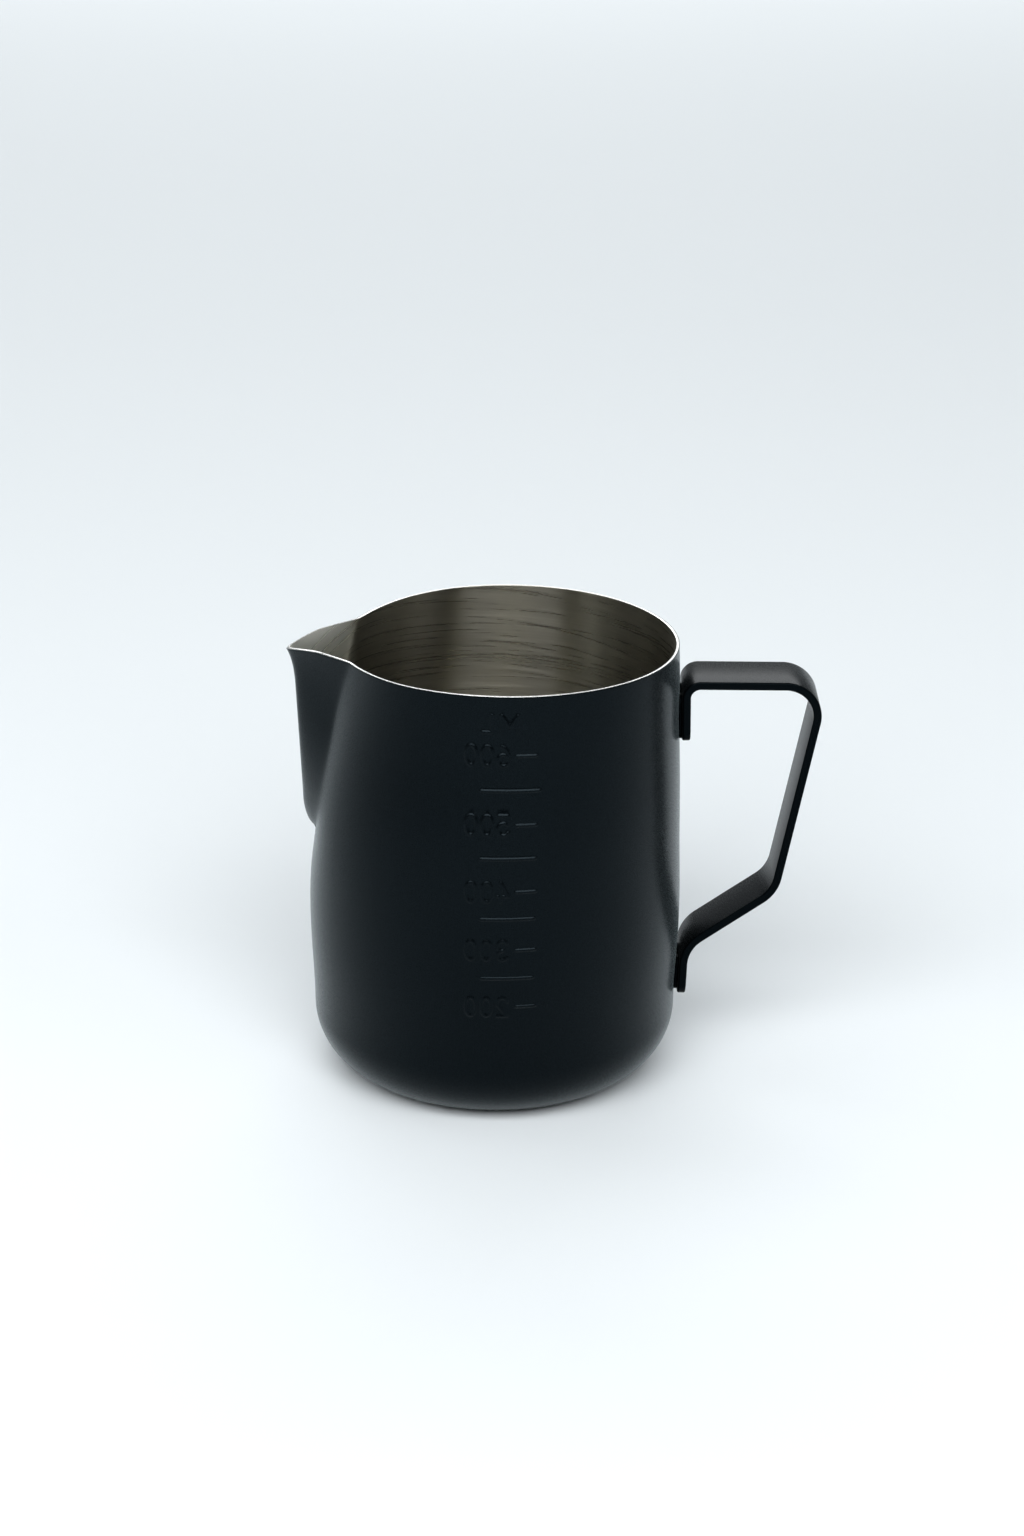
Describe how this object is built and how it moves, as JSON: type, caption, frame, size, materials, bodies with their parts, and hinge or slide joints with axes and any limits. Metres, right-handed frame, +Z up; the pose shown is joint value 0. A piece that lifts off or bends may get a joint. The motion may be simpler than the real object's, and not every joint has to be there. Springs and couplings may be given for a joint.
{
  "type": "milk frothing pitcher",
  "caption": "Milk frothing pitcher: drawn steel vessel with belly, narrower neck and pressed V spout, and a flat strap handle spot-welded to its wall.",
  "frame": {"origin": "centre of the flat base, on the surface that the pitcher stands on", "axes": "+Z up along the vessel's axis, +X from the axis to the handle, so the spout points to -X"},
  "size_m": [0.1315, 0.0928, 0.1125],
  "materials": {
    "matte_black_coating": "fine matte black coating, slightly blue",
    "bare_steel": "fine brushing round the axis"
  },
  "bodies": {
    "root": {"pitcher_body": "matte_black_coating", "handle_strap": "matte_black_coating", "weld_upper_front": "bare_steel", "weld_upper_back": "bare_steel", "weld_lower_front": "bare_steel", "weld_lower_back": "bare_steel"}
  },
  "joints": []
}
